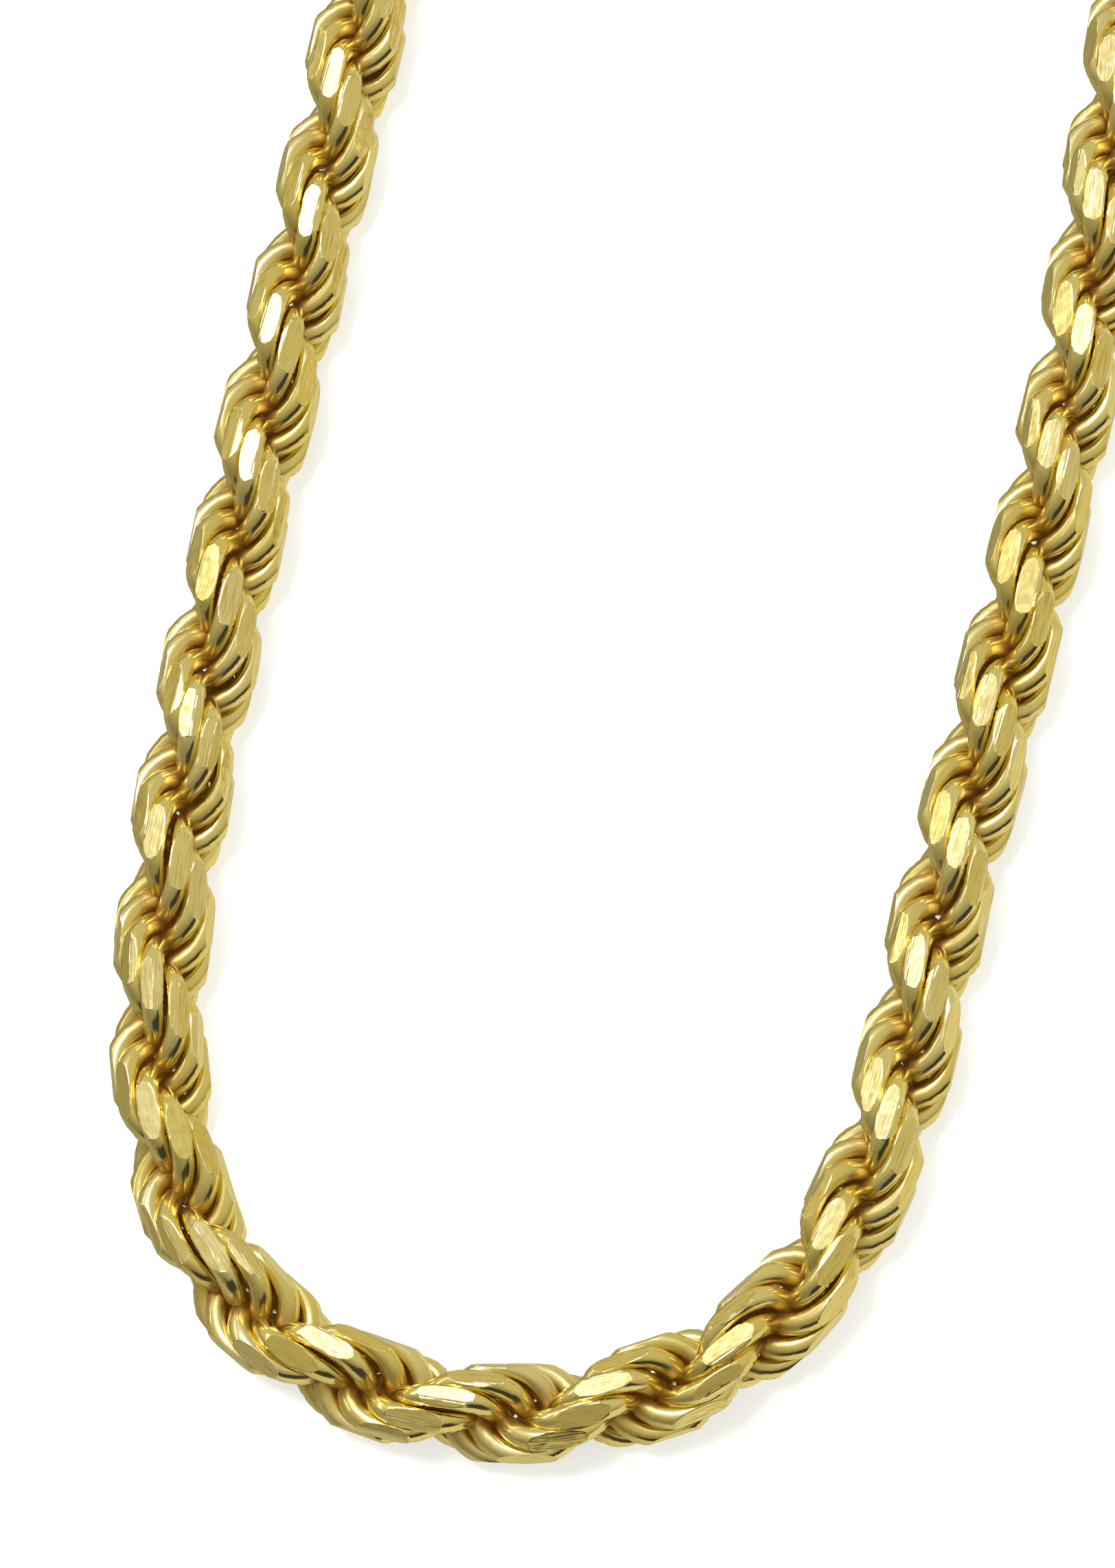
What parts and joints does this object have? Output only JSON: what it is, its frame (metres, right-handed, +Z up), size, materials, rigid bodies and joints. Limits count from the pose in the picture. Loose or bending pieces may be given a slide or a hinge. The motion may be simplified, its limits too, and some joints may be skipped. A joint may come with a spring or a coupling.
{
  "type": "rope chain necklace",
  "caption": "Diamond-cut rope chain necklace in yellow gold, fastened with a plain clasp and laid flat in a long closed loop.",
  "frame": {"origin": "the middle of the loop, on the surface it lies on", "axes": "+Z up from the surface, +Y along the loop from its bend to its clasp, +X across it to the right arm"},
  "size_m": [0.0564, 0.2591, 0.0074],
  "materials": {
    "gold": "diamond-cut yellow gold: bright milled facets, polished wire between them",
    "polished_gold": "polished yellow gold"
  },
  "bodies": {
    "root": {"rope_left": "gold", "rope_right": "gold", "end_cap_left": "polished_gold", "end_cap_right": "polished_gold", "jump_ring": "polished_gold", "clasp_ring": "polished_gold", "clasp": "polished_gold"}
  },
  "joints": []
}
